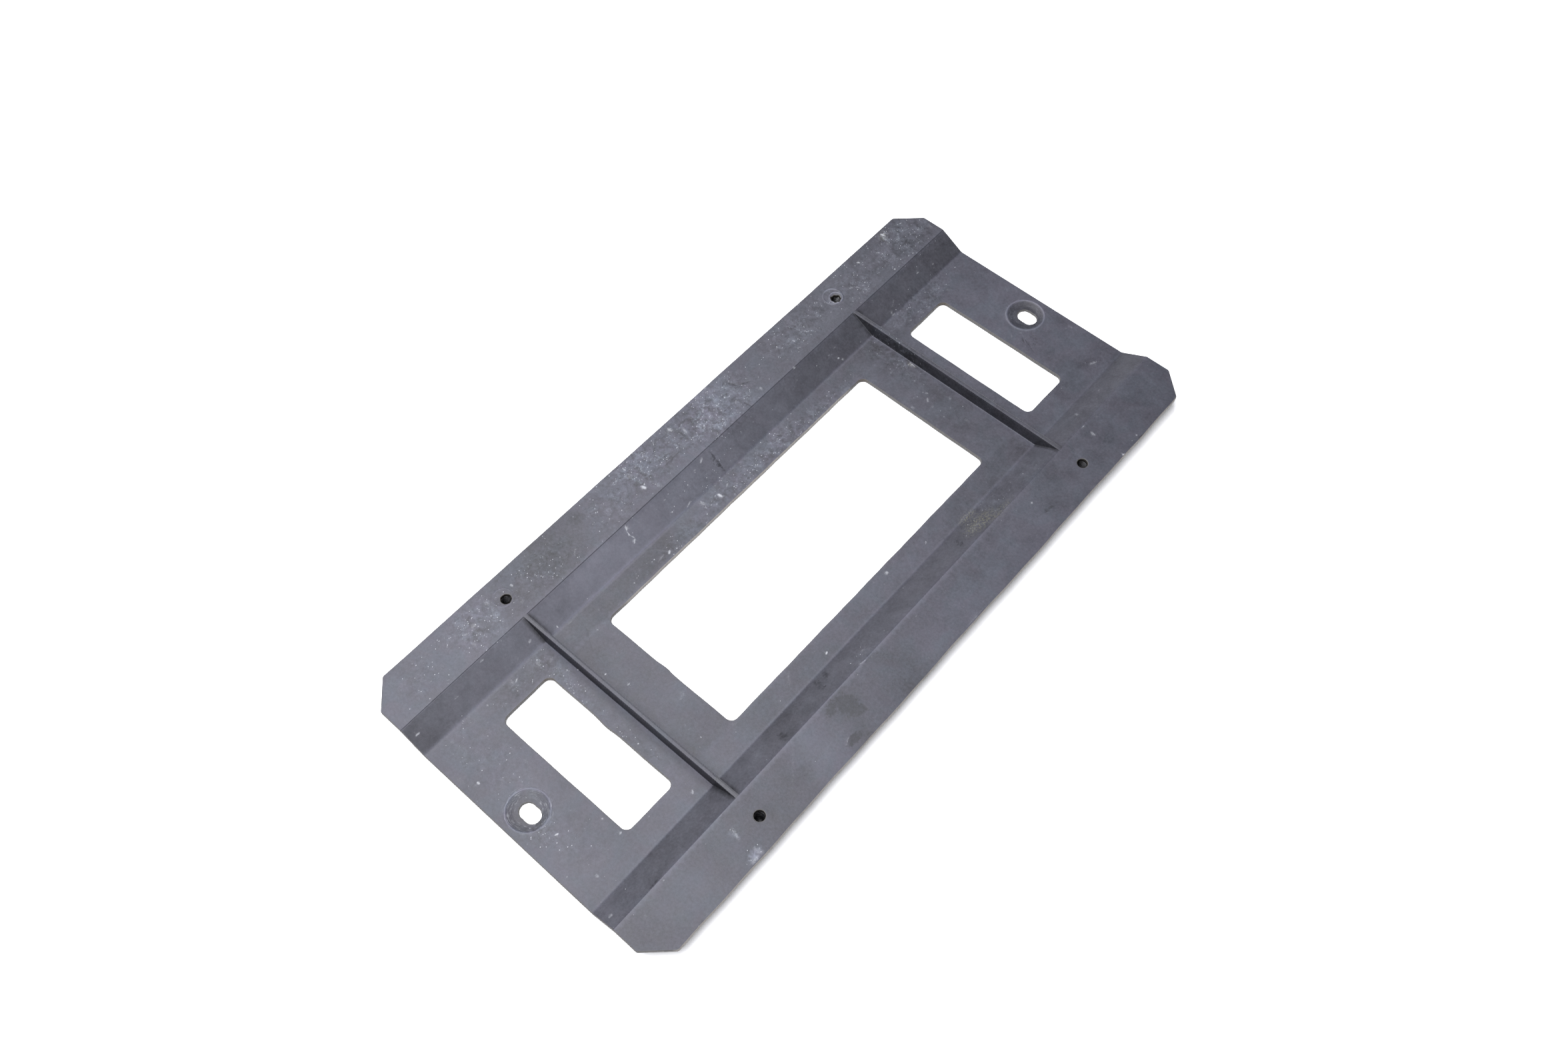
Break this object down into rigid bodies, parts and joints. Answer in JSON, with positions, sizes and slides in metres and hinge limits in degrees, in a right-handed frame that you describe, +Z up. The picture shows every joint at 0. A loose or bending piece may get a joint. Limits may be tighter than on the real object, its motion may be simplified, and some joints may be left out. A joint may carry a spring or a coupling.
{
  "type": "mud flap",
  "caption": "Moulded tray-shaped mud flap panel with raised side flanges, cross ribs, rectangular windows, slotted end mounts and threaded inserts.",
  "frame": {"origin": "middle of the floor's underside, the plane that the panel rests on", "axes": "+Z up, from the floor towards the raised flanges; +Y along the panel's long side; +X across it, towards the right flange"},
  "size_m": [0.214, 0.45, 0.0118],
  "materials": {
    "moulded_rubber": "matt moulded rubber, dusty and scuffed",
    "insert_steel": "dull plated steel"
  },
  "bodies": {
    "root": {"flap_panel": "moulded_rubber", "insert_left_front": "insert_steel", "insert_left_rear": "insert_steel", "insert_right_front": "insert_steel", "insert_right_rear": "insert_steel"}
  },
  "joints": []
}
